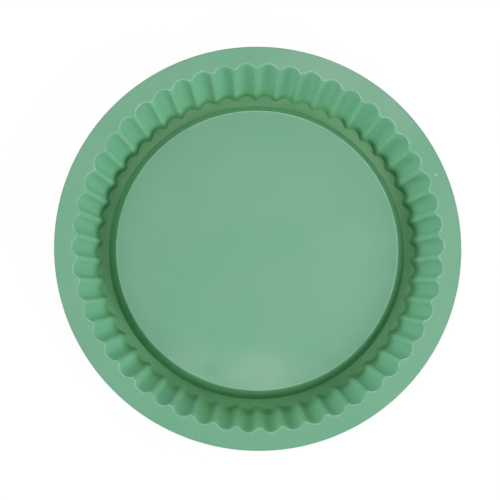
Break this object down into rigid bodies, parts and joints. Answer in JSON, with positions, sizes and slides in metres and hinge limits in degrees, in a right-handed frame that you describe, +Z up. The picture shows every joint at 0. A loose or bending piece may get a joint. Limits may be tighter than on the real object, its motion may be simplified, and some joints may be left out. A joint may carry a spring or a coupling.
{
  "type": "fluted flan mould",
  "caption": "Round silicone flan mould with a wide flat rim, a fluted sloping wall, a ring channel and a raised flat centre.",
  "frame": {"origin": "middle of the face the mould rests on, under the centre of the bowl", "axes": "+Z up, along the axis of the round mould, out of its open mouth; the middle of one flute lies on +X"},
  "size_m": [0.308, 0.308, 0.0325],
  "materials": {
    "silicone": "satin"
  },
  "bodies": {
    "root": {"mould": "silicone"}
  },
  "joints": []
}
